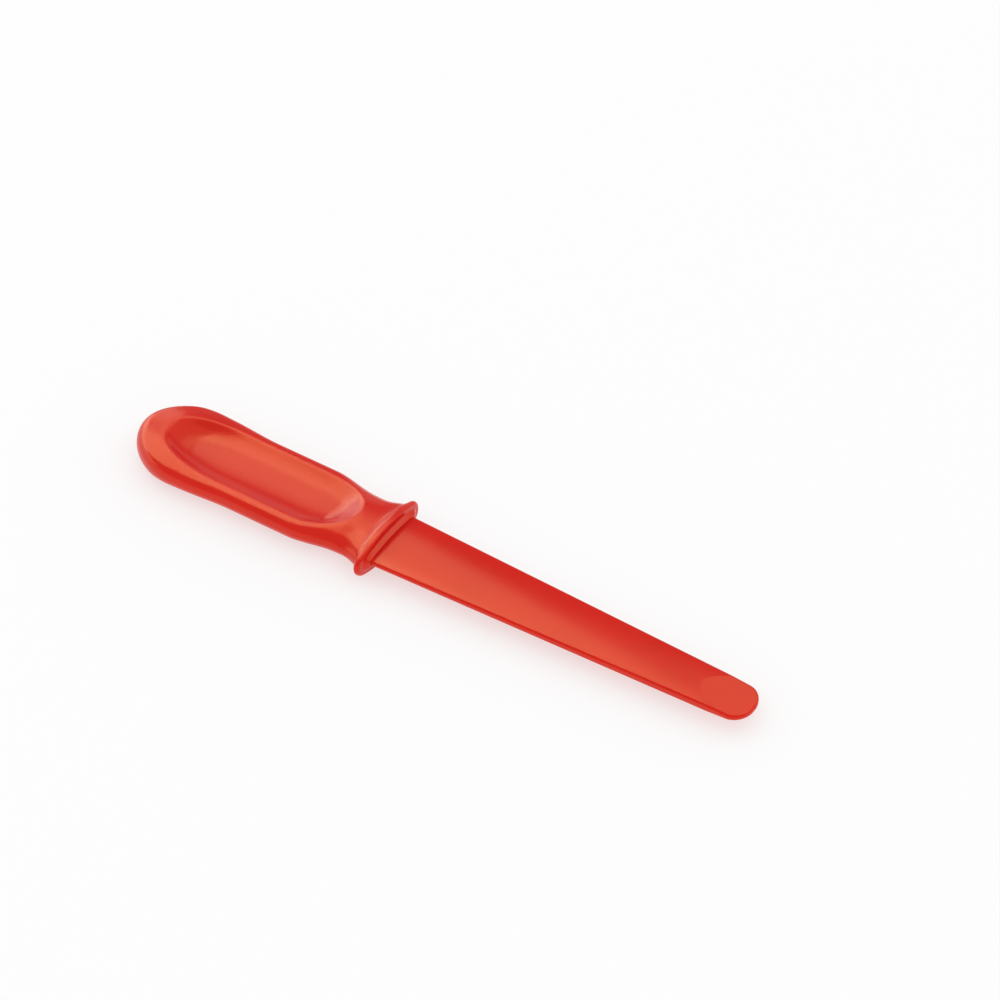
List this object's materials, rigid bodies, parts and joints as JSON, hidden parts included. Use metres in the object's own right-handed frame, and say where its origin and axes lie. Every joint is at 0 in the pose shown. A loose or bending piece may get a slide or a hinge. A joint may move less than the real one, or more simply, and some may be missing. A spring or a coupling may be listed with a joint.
{
  "type": "hive tool",
  "caption": "Rigid hand tool for opening beehives: flat dished handle, oval guard collar and a crowned blade tapering to a bevelled round tip.",
  "frame": {"origin": "centre of the bounding box: on the handle's parting plane, in the middle of the overall length", "axes": "+X along the tool towards the blade tip, +Z square to the flat of the blade and handle, +Y across the tool"},
  "size_m": [0.25, 0.038, 0.0142],
  "materials": {
    "blade_plastic": "semi-gloss hard plastic, signal red",
    "handle_plastic": "semi-gloss moulded plastic, signal red",
    "guard_plastic": "semi-gloss moulded plastic, signal red"
  },
  "bodies": {
    "root": {"blade": "blade_plastic", "handle_upper": "handle_plastic", "handle_lower": "handle_plastic", "guard_collar": "guard_plastic"}
  },
  "joints": []
}
